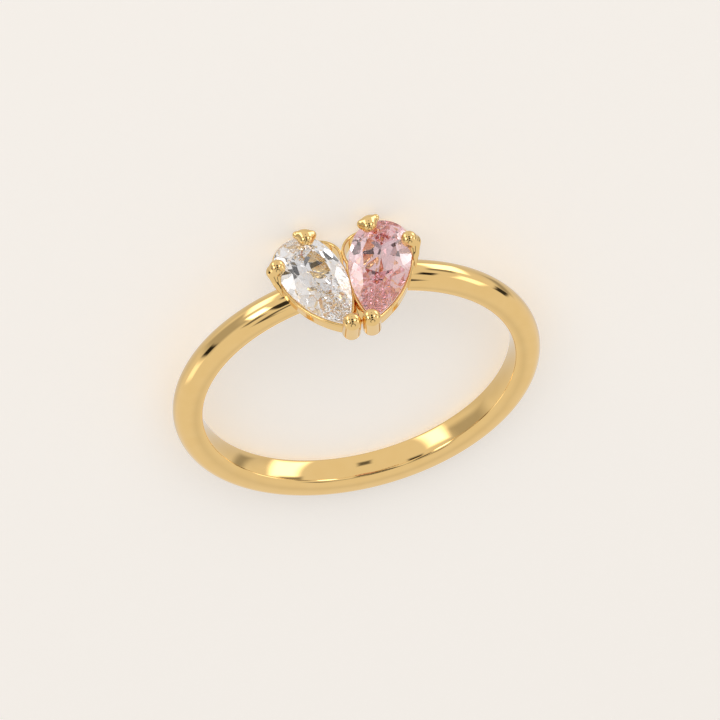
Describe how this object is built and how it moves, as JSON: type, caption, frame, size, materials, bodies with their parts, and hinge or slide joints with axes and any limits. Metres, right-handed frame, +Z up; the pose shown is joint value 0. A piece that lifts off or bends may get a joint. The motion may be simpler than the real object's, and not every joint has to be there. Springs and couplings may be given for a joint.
{
  "type": "toi et moi ring",
  "caption": "Gold toi et moi ring: a clear and a pink pear-cut stone lean together as a heart in thin collars with ball prongs, on a slim rounded band.",
  "frame": {"origin": "on the surface that the ring rests on, under the middle of its bounding box", "axes": "the ring lies on its side as it rests by itself: +Z up and close to the line of the finger, -Y towards the head with the two stones, +Y towards the back of the band, +X towards the clear stone"},
  "size_m": [0.0196, 0.0208, 0.0068],
  "materials": {
    "polished_gold": "polished 14 carat yellow gold",
    "clear_stone": "polished clear faceted stone",
    "pink_stone": "polished pale pink faceted stone"
  },
  "bodies": {
    "root": {"gold_mounting": "polished_gold", "clear_pear_stone": "clear_stone", "pink_pear_stone": "pink_stone"}
  },
  "joints": []
}
